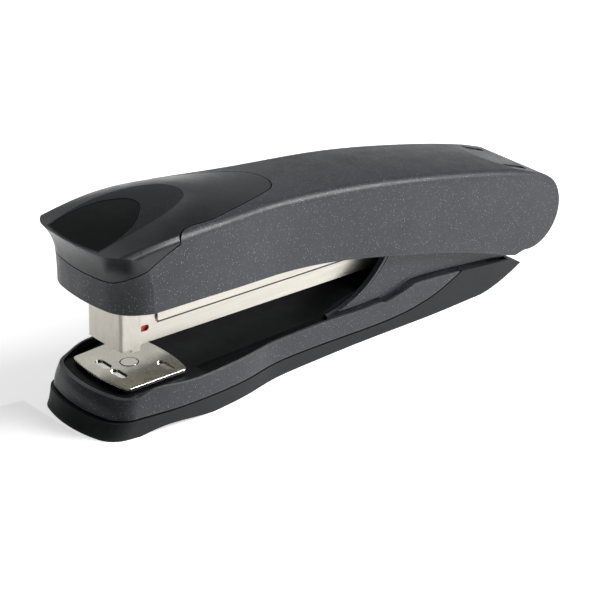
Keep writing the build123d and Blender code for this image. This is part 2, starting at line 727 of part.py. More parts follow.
def handle_profile(inset, extra_depth):
    """Side view of the handle: sloping lower edge and a round rear."""
    radius = REAR_R - inset
    with BuildSketch(side_plane()) as profile:
        with BuildLine():
            low = Spline(
                (-79, 38.8 - extra_depth), (-59, 37.9 - extra_depth), (-39, 35.5 - extra_depth),
                (-11, 32.1 - extra_depth), (14.6, 26.9 - extra_depth), (47.5, 18.0 - extra_depth),
                (66, 11.4 - extra_depth), (73, 9.0 - extra_depth),
                tangents=[(1, -0.02), (1, -0.25)],
            )
            start = (REAR_CENTRE_X - radius * sin(radians(12)), REAR_CENTRE_Z - radius * cos(radians(12)))
            finish = (REAR_CENTRE_X + radius * sin(radians(19)), REAR_CENTRE_Z + radius * cos(radians(19)))
            rear = ThreePointArc(start, (REAR_CENTRE_X + radius, REAR_CENTRE_Z), finish)
            Line(low @ 1, start)
            Polyline(
                finish, (60, 43.6 - inset), (-20, 80), (-110, 80), (-110, 37.0 - extra_depth), low @ 0,
            )
        make_face()
    return profile.sketch


with BuildPart() as handle_form:
    handle_loft(0.0, 0.0)
    extrude(handle_profile(0.0, 0.0), amount=60, both=True, mode=Mode.INTERSECT)

with BuildPart() as handle_core:
    handle_loft(HANDLE_WALL, HANDLE_WALL)
    extrude(handle_profile(HANDLE_WALL, 30.0), amount=60, both=True, mode=Mode.INTERSECT)

with BuildPart() as inlay_floor:
    handle_loft(0.0, INLAY_DEPTH)

with BuildPart() as badge_level:
    handle_loft(0.0, BADGE_DROP)

with BuildPart() as mark_floor:
    handle_loft(0.0, MARK_DEPTH)


def cap_region(grow):
    """Space that belongs to the cap: over the front, ending in a tongue along the top."""
    with BuildSketch(side_plane()) as front_view:
        with BuildLine():
            front = Line((-100, 47.2 - grow), (-86.5, 47.6 - grow))
            seam = Spline(
                front @ 1, (-83, 49.6 - grow), (-76.8, 53.0 - grow), (-70, 56.2 - grow),
                (-66.3 + grow, 57.6 - grow),
                tangents=[(1, 0.2), (1, 0.4)],
            )
            Polyline(seam @ 1, (-66.3 + grow, 54), (0, 44), (0, 80), (-100, 80), front @ 0)
        make_face()
    extrude(front_view.sketch, amount=60, both=True)
    with BuildSketch(Plane.XY) as tongue:
        with BuildLine():
            step = Line((-66.3 + grow, 30), (-66.3 + grow, 20.6 + grow))
            side = Spline(
                step @ 1, (-64.4 + grow, 18.9 + grow), (-55, 17.7 + grow), (-46, 15.9 + grow),
                (-37, 13.3 + grow), (-24.5, 8.7 + grow),
            )
            mirror(about=Plane.XZ)
            ThreePointArc(side @ 1, (-19 + grow, 0), (-24.5, -8.7 - grow))
            Polyline((-66.3 + grow, 30), (-110, 30), (-110, -30), (-66.3 + grow, -30))
        make_face()
    extrude(tongue.sketch, amount=100, mode=Mode.INTERSECT)


with BuildPart() as cap_space:
    cap_region(0.0)

with BuildPart() as cap_space_wide:
    cap_region(CAP_GAP)


def oval_outline(grow):
    """Grip inlay on the cap: bowed front edge, nearly straight sides and a round rear."""
    with BuildLine() as plan:
        front = ThreePointArc((-87.8 - grow, 12.0 + grow), (-89.4 - grow, 0), (-87.8 - grow, -12.0 - grow))
        side = Spline(
            front @ 0, (-76, 12.5 + grow), (-64, 10.9 + grow), (-54.6, 6.7 + grow),
        )
        mirror(side, about=Plane.XZ)
        ThreePointArc(side @ 1, (-50.9 + grow, 0), (-54.6, -6.7 - grow))
    make_face(plan.edges())


def badge_outline(grow):
    """Shield inside the grip inlay, sharing its front edge."""
    with BuildLine() as plan:
        front = ThreePointArc((-87.4 - grow, 11.6 + grow), (-89.0 - grow, 0), (-87.4 - grow, -11.6 - grow))
        side = Spline(front @ 0, (-80, 11.6 + grow), (-74, 9.8 + grow), (-68.6, 5.6 + grow))
        mirror(side, about=Plane.XZ)
        ThreePointArc(side @ 1, (-65.9 + grow, 0), (-68.6, -5.6 - grow))
    make_face(plan.edges())


def inlay_column(outline, grow):
    """Upright column with one of the inlay outlines, through the top of the cap."""
    with BuildSketch(Plane.XY.offset(52)) as plan:
        outline(grow)
    extrude(plan.sketch, amount=20)


def web_curve(lower):
    """Line of the steel frame's top web, from the blade back to the hinge."""
    return Spline(
        (-75.4, 55.3 - lower), (-50, 55.0 - lower), (-20, 52.6 - lower), (10, 48.9 - lower),
        (40, 42.9 - lower), (60, 38.0 - lower),
    )


def screw_boss(x):
    """Plan of the round post that takes a screw."""
    with Locations((x, 0)):
        Circle(3.2)
        Circle(1.2, mode=Mode.SUBTRACT)


with BuildPart() as boss_space:
    add(handle_core.part)
    with BuildSketch(side_plane()):
        with BuildLine():
            web = web_curve(0.0)
            Polyline(web @ 1, (100, 38), (100, -40), (-110, -40), (-110, 55.3), web @ 0)
        make_face()
    extrude(amount=60, both=True, mode=Mode.SUBTRACT)

with BuildPart() as cap_boss:
    add(boss_space.part)
    with BuildSketch(Plane.XY.offset(30)):
        screw_boss(CAP_SCREW_X)
    extrude(amount=40, mode=Mode.INTERSECT)

with BuildPart() as shell_bosses:
    add(boss_space.part)
    with BuildSketch(Plane.XY.offset(30)):
        for boss_x in SHELL_SCREW_XS:
            screw_boss(boss_x)
    extrude(amount=40, mode=Mode.INTERSECT)

# Two small finger marks sunk in the top over the hinge.
with BuildPart() as mark_space:
    with BuildSketch(Plane.XY.offset(30)):
        with Locations((77, 9.5), (77, -9.5)):
            SlotOverall(9.5, 3.2)
    extrude(amount=20)
    add(mark_floor.part, mode=Mode.SUBTRACT)

with BuildPart() as inlay_space:
    inlay_column(oval_outline, INLAY_GAP)
    add(inlay_floor.part, mode=Mode.SUBTRACT)

with BuildPart() as handle_shell:
    add(handle_form.part)
    add(handle_core.part, mode=Mode.SUBTRACT)
    add(cap_space_wide.part, mode=Mode.SUBTRACT)
    # The back is open between the side walls, so that they can swing past the cheeks.
    with BuildSketch(Plane.YZ.offset(60)):
        with Locations((0, 10)):
            Rectangle(2 * 13.7, 32)
    extrude(amount=60, mode=Mode.SUBTRACT)
    add(shell_bosses.part)
    add(mark_space.part, mode=Mode.SUBTRACT)
save(handle_shell, "handle_shell")

with BuildPart() as cap:
    add(handle_form.part)
    add(handle_core.part, mode=Mode.SUBTRACT)
    add(cap_space.part, mode=Mode.INTERSECT)
    add(inlay_space.part, mode=Mode.SUBTRACT)
    add(cap_boss.part)
save(cap, "cap")

with BuildPart() as grip_inlay:
    inlay_column(oval_outline, 0.0)
    add(handle_form.part, mode=Mode.INTERSECT)
    add(inlay_floor.part, mode=Mode.SUBTRACT)
    with BuildSketch(Plane.XY.offset(52)):
        badge_outline(INLAY_GAP)
    extrude(amount=20, mode=Mode.SUBTRACT)
save(grip_inlay, "grip_inlay")

with BuildPart() as badge_plate:
    inlay_column(badge_outline, 0.0)
    add(badge_level.part, mode=Mode.INTERSECT)
    add(inlay_floor.part, mode=Mode.SUBTRACT)
save(badge_plate, "badge_plate")

with BuildPart() as handle_frame:
    # Side walls with the ears that ride on the pin.
    with BuildSketch(side_plane(), mode=Mode.PRIVATE) as frame_view:
        with BuildLine():
            upper = web_curve(0.0)
            ear = ThreePointArc(
                (PIVOT_X + 2, PIVOT_Z + 5.9), (PIVOT_X + 6.2, PIVOT_Z), (PIVOT_X - 4.4, PIVOT_Z - 4.4)
            )
            lower = Spline((58, 30), (30, 37.5), (-10, 44), (-68, 48.2))
            Line(upper @ 1, ear @ 0)
            Line(ear @ 1, lower @ 0)
            Line(lower @ 1, upper @ 0)
        make_face()
        with Locations((-100, 50)):
            Rectangle(64, 40, mode=Mode.SUBTRACT)
    wall_pair(frame_view.sketch, FRAME_IN, FRAME_OUT)
    # Web across the top, narrower in front where it enters the nose.
    for half_width, cut_x in [(FRAME_OUT, -68.0), (6.2, -76.0)]:
        with BuildSketch(side_plane()):
            with BuildLine():
                upper = web_curve(0.0)
                lower = web_curve(WEB_THICK)
                Line(upper @ 1, lower @ 1)
                Line(lower @ 0, upper @ 0)
            make_face()
            with Locations((cut_x - 50, 50)):
                Rectangle(100, 40, mode=Mode.SUBTRACT)
        extrude(amount=half_width, both=True)
    # Flange behind the driver blade.
    with BuildSketch(tilted_side(BLADE_TILT)):
        with Locations(((BLADE_BACK + FLANGE_BACK) / 2, 18.8)):
            Rectangle(FLANGE_BACK - BLADE_BACK, 8.4)
    extrude(amount=5.6, both=True)
    with BuildSketch(tilted_cross(BLADE_FRONT - 2, BLADE_TILT)):
        with Locations(*BLADE_RIVET_SPOTS):
            Circle(1.0)
    extrude(amount=6, mode=Mode.SUBTRACT)
    with BuildSketch(side_plane()):
        with Locations((PIVOT_X, PIVOT_Z)):
            Circle(PIN_R + RUNNING_GAP)
    extrude(amount=30, both=True, mode=Mode.SUBTRACT)
    with BuildSketch(Plane.XY.offset(35)):
        with Locations((CAP_SCREW_X, 0), *[(x, 0) for x in SHELL_SCREW_XS]):
            Circle(1.3)
    extrude(amount=40, mode=Mode.SUBTRACT)
save(handle_frame, "handle_frame")

with BuildPart() as driver_blade:
    with BuildSketch(tilted_cross(BLADE_FRONT, BLADE_TILT)):
        with Locations((0, 10.6)):
            Rectangle(12.4, 22.5)
        with Locations(*BLADE_RIVET_SPOTS):
            Circle(1.0, mode=Mode.SUBTRACT)
    extrude(amount=BLADE_BACK - BLADE_FRONT)
save(driver_blade, "driver_blade")

with BuildPart() as blade_rivets:
    with BuildSketch(tilted_cross(BLADE_FRONT, BLADE_TILT)):
        with Locations(*BLADE_RIVET_SPOTS):
            Circle(1.0)
    extrude(amount=FLANGE_BACK - BLADE_FRONT)
    with BuildSketch(tilted_cross(FLANGE_BACK, BLADE_TILT)):
        with Locations(*BLADE_RIVET_SPOTS):
            Circle(1.6)
    extrude(amount=0.5)
save(blade_rivets, "blade_rivets")

with BuildPart() as frame_screws:
    for screw_x, web_z in [(CAP_SCREW_X, 53.6), (SHELL_SCREW_XS[0], 49.6), (SHELL_SCREW_XS[1], 43.9)]:
        with BuildSketch(Plane.XY.offset(web_z - 1.6)):
            with Locations((screw_x, 0)):
                Circle(2.4)
        extrude(amount=1.2)
        with BuildSketch(Plane.XY.offset(web_z - 0.6)):
            with Locations((screw_x, 0)):
                Circle(1.15)
        extrude(amount=4)
save(frame_screws, "frame_screws")
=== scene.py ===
"""Looks of the desktop stapler: procedural materials on the CAD nodes, soft studio light and the camera."""

import math

import bpy
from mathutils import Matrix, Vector


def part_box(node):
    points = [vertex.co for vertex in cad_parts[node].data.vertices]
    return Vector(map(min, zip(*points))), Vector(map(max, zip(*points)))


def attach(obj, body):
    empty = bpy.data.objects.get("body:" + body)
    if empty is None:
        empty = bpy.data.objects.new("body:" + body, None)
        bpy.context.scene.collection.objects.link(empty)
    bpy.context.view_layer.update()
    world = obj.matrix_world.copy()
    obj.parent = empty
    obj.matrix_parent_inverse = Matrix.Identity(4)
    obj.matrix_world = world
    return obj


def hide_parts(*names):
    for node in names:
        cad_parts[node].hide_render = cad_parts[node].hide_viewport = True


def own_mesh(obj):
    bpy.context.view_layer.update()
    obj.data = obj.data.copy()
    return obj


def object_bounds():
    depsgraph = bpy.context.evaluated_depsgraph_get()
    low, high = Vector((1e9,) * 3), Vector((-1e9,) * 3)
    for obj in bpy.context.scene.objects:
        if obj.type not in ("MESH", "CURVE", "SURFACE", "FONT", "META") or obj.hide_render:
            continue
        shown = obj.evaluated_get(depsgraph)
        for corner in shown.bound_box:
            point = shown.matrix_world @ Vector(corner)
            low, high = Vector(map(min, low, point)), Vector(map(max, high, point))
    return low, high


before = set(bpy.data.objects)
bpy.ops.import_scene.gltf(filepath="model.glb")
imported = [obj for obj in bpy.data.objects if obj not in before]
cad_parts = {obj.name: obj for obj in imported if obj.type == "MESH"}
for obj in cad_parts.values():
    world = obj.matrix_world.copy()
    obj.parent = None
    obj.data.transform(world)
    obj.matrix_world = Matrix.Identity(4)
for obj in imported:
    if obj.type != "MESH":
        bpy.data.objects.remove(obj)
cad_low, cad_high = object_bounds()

MM = 0.001

# Camera: where it looks, and from where.
VIEW_TARGET = Vector((-0.0032, 0.0018, 0.0109))
VIEW_DISTANCE = 0.74
VIEW_AZIMUTH = math.radians(-40.44)
VIEW_ELEVATION = math.radians(26.54)
VIEW_LENS = 144.2
SENSOR_WIDTH = 36.0

# Light from the air: everywhere, and more from a band low behind the stapler. It shows white. The
# band fades in over these shares of facing its aim, and out over these heights of the sky.
AIR_LIGHT = 0.04
BAND_LIGHT = 0.27
BAND_AIM = (0.65, 0.76, 0.0)
BAND_FACING = (0.25, 0.8)
BAND_HEIGHTS = (0.85, 0.5)

# Soft boxes: place, aim, size in metres and power in watts.
STAPLER = (0.0, 0.0, 0.03)
LAMPS = {
    "key_right": ((1.05, -1.05, 0.90), STAPLER, (0.9, 0.7), 24.0),
    "edge_strip": ((0.85, -0.60, 1.00), STAPLER, (0.2, 0.9), 10.0),
    "fill_left": ((-1.3, -0.20, 0.75), STAPLER, (0.8, 0.8), 0.5),
    "top": ((0.0, 0.2, 1.6), (0.0, 0.0, 0.0), (1.6, 1.6), 2.0),
    "back_box": ((0.42, 0.88, 0.85), STAPLER, (0.8, 0.5), 1.2),
}

# Floor: a disc, with a glow on top of the light that falls on it, which keeps it white.
FLOOR_RADIUS = 6.0
FLOOR_SIDES = 96
FLOOR_GLOW = 0.60

# Corners of two black cards that lie just above the floor in front and to the left, hidden from the
# camera: the near one darkens the front of the base, and the far one the front of the handle.
CARD_LIFT = 0.2 * MM
NEAR_CARD = [
    (-0.0935, 0.021),
    (-0.0935, -0.012),
    (-0.090, -0.019),
    (-0.082, -0.024),
    (-0.080, -0.045),
    (-0.118, -0.045),
    (-0.118, 0.026),
]
FAR_CARD = [
    (-0.15, 0.045),
    (-0.15, -0.05),
    (-0.10, -0.09),
    (-0.05, -0.30),
    (-0.45, -0.45),
    (-0.45, 0.045),
]

# Magazine: its hinge line, its tilt, and the painted shade line under each side rail, as runs along
# the magazine, heights over the hinge line and the width of its soft edge.
PIVOT = (77.0 * MM, 22.0 * MM)
TILT = math.radians(2.0)
RAIL_RUNS = (-142.0 * MM, -11.0 * MM)
RAIL_LINE = (0.15 * MM, 0.62 * MM)
RAIL_FADE = 0.1 * MM

# Pusher spring: its runs along the magazine and its height, the radius of its coil and of its wire,
# and its turns and the steps in each.
FEED_RUNS = (-139.5 * MM, -22.5 * MM)
FEED_HEIGHT = 6.4 * MM
FEED_RADIUS = 2.3 * MM
FEED_WIRE = 0.3 * MM
FEED_TURNS = 26
FEED_STEPS = 16

# Linear colours of the finishes.
WHITE = (1.0, 1.0, 1.0)
CHARCOAL = (0.0245, 0.0280, 0.0325)
CHARCOAL_LIGHT = (0.034, 0.0375, 0.043)
FLAKE_PALE = (0.22, 0.235, 0.26)
CAP_BLACK = (0.010, 0.012, 0.0135)
CAP_LIGHT = (0.015, 0.017, 0.0195)
GRIP_GREY = (0.012, 0.0135, 0.0155)
BADGE_GREY = (0.004, 0.0045, 0.005)
SOLE_GREY = (0.015, 0.0175, 0.018)
DECK_BLACK = (0.005, 0.0055, 0.006)
NICKEL = (0.66, 0.625, 0.56)
NICKEL_DULL = (0.58, 0.555, 0.50)
ANVIL_NICKEL = (0.66, 0.64, 0.55)
# The next two lighten sharp edges: partly rubbed metal, partly a painted edge highlight; the second also
# colours the staple-burnished anvil pockets.
EDGE_NICKEL = (0.95, 0.94, 0.90)
BURNISHED_AND_HIGHLIT = (0.95, 0.93, 0.88)
# Painted shade for creases, seams and the line under each magazine rail.
PAINTED_SHADE = (0.008, 0.008, 0.008)
DUST = (0.30, 0.32, 0.32)
CARD_BLACK = (0.005, 0.005, 0.005)
ZINC = (0.56, 0.57, 0.58)
WIRE = (0.42, 0.42, 0.43)
PUSHER_RED = (0.62, 0.030, 0.024)


def scaled(colour, times):
    """A colour that is this many times as bright."""
    return tuple(times * channel for channel in colour)


def show(piece):
    """Puts a new object in the scene."""
    bpy.context.scene.collection.objects.link(piece)
    return piece


# ---------------------------------------------------------------- node helpers
class Tree:
    """A material's node tree, ending in one Principled shader."""

    def __init__(self, name, metallic=0.0, specular=0.5):
        self.material = bpy.data.materials.new(name)
        self.material.use_nodes = True
        self.nodes = self.material.node_tree.nodes
        self.links = self.material.node_tree.links
        self.shader = self.nodes["Principled BSDF"]
        self.shader.inputs["Metallic"].default_value = metallic
        self.shader.inputs["Specular IOR Level"].default_value = specular
        self.place = self.add("ShaderNodeTexCoord").outputs["Object"]

    def add(self, kind, **settings):
        node = self.nodes.new(kind)
        for name, value in settings.items():
            setattr(node, name, value)
        return node

    def put(self, socket, value):
        """Feeds a socket from another socket, or sets it to a plain value."""
        if isinstance(value, bpy.types.NodeSocket):
            self.links.new(value, socket)
        elif socket.type == "RGBA":
            socket.default_value = (*value, 1.0)
        else:
            socket.default_value = value

    def maths(self, operation, first, second=0.0, clamp=False):
        node = self.add("ShaderNodeMath", operation=operation, use_clamp=clamp)
        self.put(node.inputs[0], first)
        self.put(node.inputs[1], second)
        return node.outputs[0]

    def span(self, value, start, end, low=0.0, high=1.0):
        """value from start to end becomes low to high, and is held beyond them."""
        node = self.add("ShaderNodeMapRange", clamp=True)
        self.put(node.inputs["Value"], value)
        self.put(node.inputs["From Min"], start)
        self.put(node.inputs["From Max"], end)
        self.put(node.inputs["To Min"], low)
        self.put(node.inputs["To Max"], high)
        return node.outputs["Result"]

    def mixed(self, share, first, second):
        """The first colour at share 0, the second at 1; the node's own colour sockets are 6, 7 and 2."""
        node = self.add("ShaderNodeMix", data_type="RGBA")
        self.put(node.inputs[0], share)
        self.put(node.inputs[6], first)
        self.put(node.inputs[7], second)
        return node.outputs[2]

    def stretched(self, along_x=1.0, along_y=1.0, along_z=1.0):
        """The place on the object, with each axis scaled."""
        node = self.add("ShaderNodeMapping")
        self.put(node.inputs["Vector"], self.place)
        node.inputs["Scale"].default_value = (along_x, along_y, along_z)
        return node.outputs["Vector"]

    def noise(self, size, detail=2.0, roughness=0.5, place=None):
        """Smooth noise from 0 to 1, whose features are about size metres across."""
        node = self.add("ShaderNodeTexNoise")
        self.put(node.inputs["Vector"], self.place if place is None else place)
        node.inputs["Scale"].default_value = 1.0 / size
        node.inputs["Detail"].default_value = detail
        node.inputs["Roughness"].default_value = roughness
        return node.outputs["Fac"]

    def specks(self, size, share, shine):
        """Round specks on a grid of cells size metres across; share is their radius in cells, and a
        higher shine leaves fewer bright ones."""
        cells = self.add("ShaderNodeTexVoronoi", feature="F1")
        self.put(cells.inputs["Vector"], self.place)
        cells.inputs["Scale"].default_value = 1.0 / size
        split = self.add("ShaderNodeSeparateColor")
        self.links.new(cells.outputs["Color"], split.inputs[0])
        bright = self.maths("POWER", split.outputs[0], shine)
        dot = self.span(cells.outputs["Distance"], share, share * 0.6)
        return self.maths("MULTIPLY", dot, bright)

    def edges(self, radius):
        """Near 1 along sharp outer edges, within radius, and 0 on flat faces."""
        rounded = self.add("ShaderNodeBevel", samples=6)
        rounded.inputs["Radius"].default_value = radius
        flat = self.add("ShaderNodeNewGeometry")
        dot = self.add("ShaderNodeVectorMath", operation="DOT_PRODUCT")
        self.links.new(rounded.outputs["Normal"], dot.inputs[0])
        self.links.new(flat.outputs["Normal"], dot.inputs[1])
        return self.span(dot.outputs["Value"], 0.995, 0.85)

    def creases(self, reach):
        """Near 1 deep in creases and seams that are about reach wide, and 0 in the open."""
        node = self.add("ShaderNodeAmbientOcclusion", samples=8)
        node.inputs["Distance"].default_value = reach
        return self.span(node.outputs["AO"], 0.78, 0.42)

    def worn_and_highlit(self, colour, rubbed_and_lit, radius, share):
        """The colour, lightened by share towards a lighter edge colour on sharp outer edges, within radius:
        partly rubbed wear, partly a painted edge highlight.
        """
        return self.mixed(self.maths("MULTIPLY", self.edges(radius), share), colour, rubbed_and_lit)

    def crease_shaded(self, colour, reach, share):
        """The colour, darkened by share towards painted shade in creases that are about reach wide."""
        return self.mixed(self.maths("MULTIPLY", self.creases(reach), share), colour, PAINTED_SHADE)

    def bump(self, height, depth, strength):
        """A normal from a height of 0 to 1, depth metres deep."""
        node = self.add("ShaderNodeBump")
        node.inputs["Strength"].default_value = strength
        node.inputs["Distance"].default_value = depth
        self.put(node.inputs["Height"], height)
        return node.outputs["Normal"]

    def finish(self, colour, roughness, normal):
        self.put(self.shader.inputs["Base Color"], colour)
        self.put(self.shader.inputs["Roughness"], roughness)
        self.put(self.shader.inputs["Normal"], normal)
        return self.material


# ---------------------------------------------------------------- materials
def flake_plastic(name, dark, light, roughness=0.42, wear_and_highlight=0.22):
    """Moulded plastic filled with metal flakes: scattered bright ones over a haze of faint ones; sharp edges
    rubbed lighter with a painted highlight, and painted shade in creases.
    """
    tree = Tree(name, specular=0.4)
    body = tree.mixed(tree.span(tree.noise(18 * MM), 0.2, 0.8), dark, light)
    bright = tree.specks(0.56 * MM, share=0.34, shine=3.4)
    faint = tree.specks(0.36 * MM, share=0.42, shine=1.4)
    flakes = tree.maths("MAXIMUM", bright, tree.maths("MULTIPLY", faint, 0.14))
    colour = tree.mixed(flakes, body, FLAKE_PALE)
    # Sharp edges lighter: partly real wear, partly a painted edge highlight.
    colour = tree.worn_and_highlit(colour, scaled(light, 4.0), radius=0.5 * MM, share=wear_and_highlight)
    # Painted shade in creases and seams.
    colour = tree.crease_shaded(colour, reach=0.9 * MM, share=0.8)
    patch = tree.span(tree.noise(6 * MM, detail=4.0), 0.3, 0.7, roughness - 0.05, roughness + 0.06)
    gloss = tree.maths("SUBTRACT", patch, tree.maths("MULTIPLY", flakes, 0.2))
    grain = tree.bump(tree.noise(0.28 * MM), depth=0.012 * MM, strength=0.5)
    return tree.finish(colour, gloss, grain)


def satin_plastic(name, dark, light, roughness, grain_size, grain_depth, wear_and_highlight=0.12, specular=0.5):
    """Smooth moulded plastic, with faint clouds of colour and gloss and a fine skin."""
    tree = Tree(name, specular=specular)
    body = tree.mixed(tree.span(tree.noise(9 * MM, detail=4.0), 0.3, 0.7), dark, light)
    # Sharp edges lighter: partly real wear, partly a painted edge highlight.
    colour = tree.worn_and_highlit(body, scaled(light, 5.0), radius=0.4 * MM, share=wear_and_highlight)
    gloss = tree.span(tree.noise(3 * MM, detail=5.0), 0.25, 0.75, roughness - 0.04, roughness + 0.05)
    skin = tree.bump(tree.noise(grain_size), grain_depth, strength=0.6)
    return tree.finish(colour, gloss, skin)


def grained_plastic(name, dark, light):
    """The leather-fine grain of the oval inlay."""
    tree = Tree(name, specular=0.12)
    pebbles = tree.noise(0.42 * MM, detail=3.0, roughness=0.6)
    body = tree.mixed(tree.span(pebbles, 0.42, 0.66), dark, light)
    specks = tree.specks(0.9 * MM, share=0.2, shine=2.5)
    colour = tree.mixed(tree.maths("MULTIPLY", specks, 0.25), body, FLAKE_PALE)
    # Sharp edges of the inlay lighter: partly real wear, partly a painted highlight outline.
    colour = tree.worn_and_highlit(colour, scaled(light, 6.0), radius=0.25 * MM, share=0.5)
    gloss = tree.span(pebbles, 0.3, 0.7, 0.42, 0.6)
    return tree.finish(colour, gloss, tree.bump(pebbles, depth=0.06 * MM, strength=0.8))


def rubber(name, dark, light):
    """Matte sole: powdery, with dust in the pores."""
    tree = Tree(name, specular=0.25)
    cloud = tree.noise(11 * MM, detail=5.0)
    body = tree.mixed(tree.span(cloud, 0.3, 0.7), dark, light)
    dust = tree.specks(0.8 * MM, share=0.16, shine=4.0)
    colour = tree.mixed(tree.maths("MULTIPLY", dust, 0.2), body, DUST)
    # Sharp edges of the sole lighter: partly real wear, partly a painted edge highlight.
    colour = tree.worn_and_highlit(colour, scaled(light, 3.2), radius=0.5 * MM, share=0.35)
    gloss = tree.span(cloud, 0.3, 0.7, 0.5, 0.62)
    pores = tree.bump(tree.noise(0.35 * MM, detail=3.0), depth=0.03 * MM, strength=0.6)
    return tree.finish(colour, gloss, pores)


def rail_line(tree):
    """Near 1 on the line under each side rail, where shade is painted."""
    split = tree.add("ShaderNodeSeparateXYZ")
    tree.links.new(tree.place, split.inputs[0])
    back = tree.maths("SUBTRACT", split.outputs["X"], PIVOT[0])
    high = tree.maths("SUBTRACT", split.outputs["Z"], PIVOT[1])
    cosine = math.cos(TILT)
    sine = math.sin(TILT)
    run = tree.maths("SUBTRACT", tree.maths("MULTIPLY", back, cosine), tree.maths("MULTIPLY", high, sine))
    rise = tree.maths("ADD", tree.maths("MULTIPLY", back, sine), tree.maths("MULTIPLY", high, cosine))
    line = 1.0
    for value, (first, last) in [(rise, RAIL_LINE), (run, RAIL_RUNS)]:
        line = tree.maths("MULTIPLY", tree.span(value, first - RAIL_FADE, first), line)
        line = tree.maths("MULTIPLY", tree.span(value, last + RAIL_FADE, last), line)
    return line


def plated_steel(name, bright, dull, roughness, stretch, railed=False):
    """Nickel or zinc plate over drawn steel: streaks along the drawing direction and clouded gloss.
    Painted shade in creases, painted highlights on rubbed edges, and on a railed one a painted shade line
    under each side rail."""
    tree = Tree(name, metallic=1.0)
    streak = tree.noise(1.1 * MM, detail=4.0, roughness=0.65, place=tree.stretched(*stretch))
    cloud = tree.noise(7 * MM, detail=3.0)
    share = tree.maths("MULTIPLY", tree.span(streak, 0.35, 0.7), 0.5)
    share = tree.maths("ADD", share, tree.maths("MULTIPLY", cloud, 0.3), clamp=True)
    # Painted shade in creases and joints.
    colour = tree.crease_shaded(tree.mixed(share, bright, dull), reach=0.6 * MM, share=0.85)
    # Sharp edges lighter: partly rubbed metal, partly a painted edge highlight.
    colour = tree.worn_and_highlit(colour, EDGE_NICKEL, radius=0.25 * MM, share=0.3)
    if railed:
        # Painted shade line under each side rail.
        colour = tree.mixed(tree.maths("MULTIPLY", rail_line(tree), 0.9), colour, PAINTED_SHADE)
    gloss = tree.span(streak, 0.3, 0.7, roughness - 0.05, roughness + 0.09)
    return tree.finish(colour, gloss, tree.bump(streak, depth=0.008 * MM, strength=0.5))


def anvil_steel(name, bright, dull, top):
    """Satin nickel with curling pockets burnished by the staples: below the top face it is polished."""
    tree = Tree(name, metallic=1.0)
    height = tree.add("ShaderNodeSeparateXYZ")
    tree.links.new(tree.place, height.inputs[0])
    depth = tree.span(height.outputs["Z"], top - 0.03 * MM, top - 0.2 * MM)
    satin = tree.noise(0.5 * MM, detail=4.0, roughness=0.65, place=tree.stretched(1.0, 0.18, 1.0))
    cloud = tree.span(tree.noise(5 * MM, detail=3.0), 0.3, 0.7)
    colour = tree.mixed(cloud, bright, dull)
    colour = tree.mixed(tree.maths("MULTIPLY", depth, 0.7), colour, BURNISHED_AND_HIGHLIT)
    # Painted shade in creases and pockets.
    colour = tree.crease_shaded(colour, reach=0.8 * MM, share=0.85)
    # Sharp edges lighter: partly rubbed metal, partly a painted edge highlight.
    colour = tree.worn_and_highlit(colour, BURNISHED_AND_HIGHLIT, radius=0.25 * MM, share=0.5)
    rough = tree.span(satin, 0.3, 0.7, 0.24, 0.36)
    gloss = tree.maths("SUBTRACT", rough, tree.maths("MULTIPLY", depth, 0.16))
    return tree.finish(colour, gloss, tree.bump(satin, depth=0.006 * MM, strength=0.5))


def wire_steel(name, colour):
    """Drawn and oil-blued wire or strip."""
    tree = Tree(name, metallic=1.0)
    cloud = tree.noise(2.5 * MM, detail=4.0)
    shade = tree.mixed(tree.span(cloud, 0.3, 0.7), colour, scaled(colour, 0.6))
    gloss = tree.span(cloud, 0.3, 0.7, 0.26, 0.42)
    skin = tree.bump(tree.noise(0.2 * MM), depth=0.004 * MM, strength=0.5)
    return tree.finish(shade, gloss, skin)


# ---------------------------------------------------------------- dressing the nodes
def dress(material, *nodes):
    """Puts one material on every face of these CAD nodes."""
    for node in nodes:
        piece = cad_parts[node]
        piece.data.materials.clear()
        piece.data.materials.append(material)
        for face in piece.data.polygons:
            face.material_index = 0


def dress_plastics():
    dress(flake_plastic("handle_flake", CHARCOAL, CHARCOAL_LIGHT), "handle_shell")
    base = flake_plastic("base_flake", CHARCOAL, CHARCOAL_LIGHT, roughness=0.34, wear_and_highlight=0.55)
    dress(base, "base_shell", "throat_housing")
    dress(satin_plastic("cap_satin", CAP_BLACK, CAP_LIGHT, 0.30, 0.25 * MM, 0.006 * MM, specular=0.45), "cap")
    dress(grained_plastic("inlay_grain", GRIP_GREY, scaled(GRIP_GREY, 1.9)), "grip_inlay")
    badge_light = scaled(BADGE_GREY, 1.3)
    badge = satin_plastic("badge_smooth", BADGE_GREY, badge_light, 0.45, 0.2 * MM, 0.004 * MM, specular=0.06)
    dress(badge, "badge_plate")
    dress(rubber("sole_matte", SOLE_GREY, scaled(SOLE_GREY, 1.25)), "base_sole")
    deck_light = scaled(DECK_BLACK, 1.5)
    deck = satin_plastic("deck_black", DECK_BLACK, deck_light, 0.5, 0.3 * MM, 0.012 * MM, 0.1, 0.1)
    dress(deck, "deck")
    red = satin_plastic("pusher_red", PUSHER_RED, scaled(PUSHER_RED, 1.3), 0.3, 0.3 * MM, 0.01 * MM)
    dress(red, "pusher")


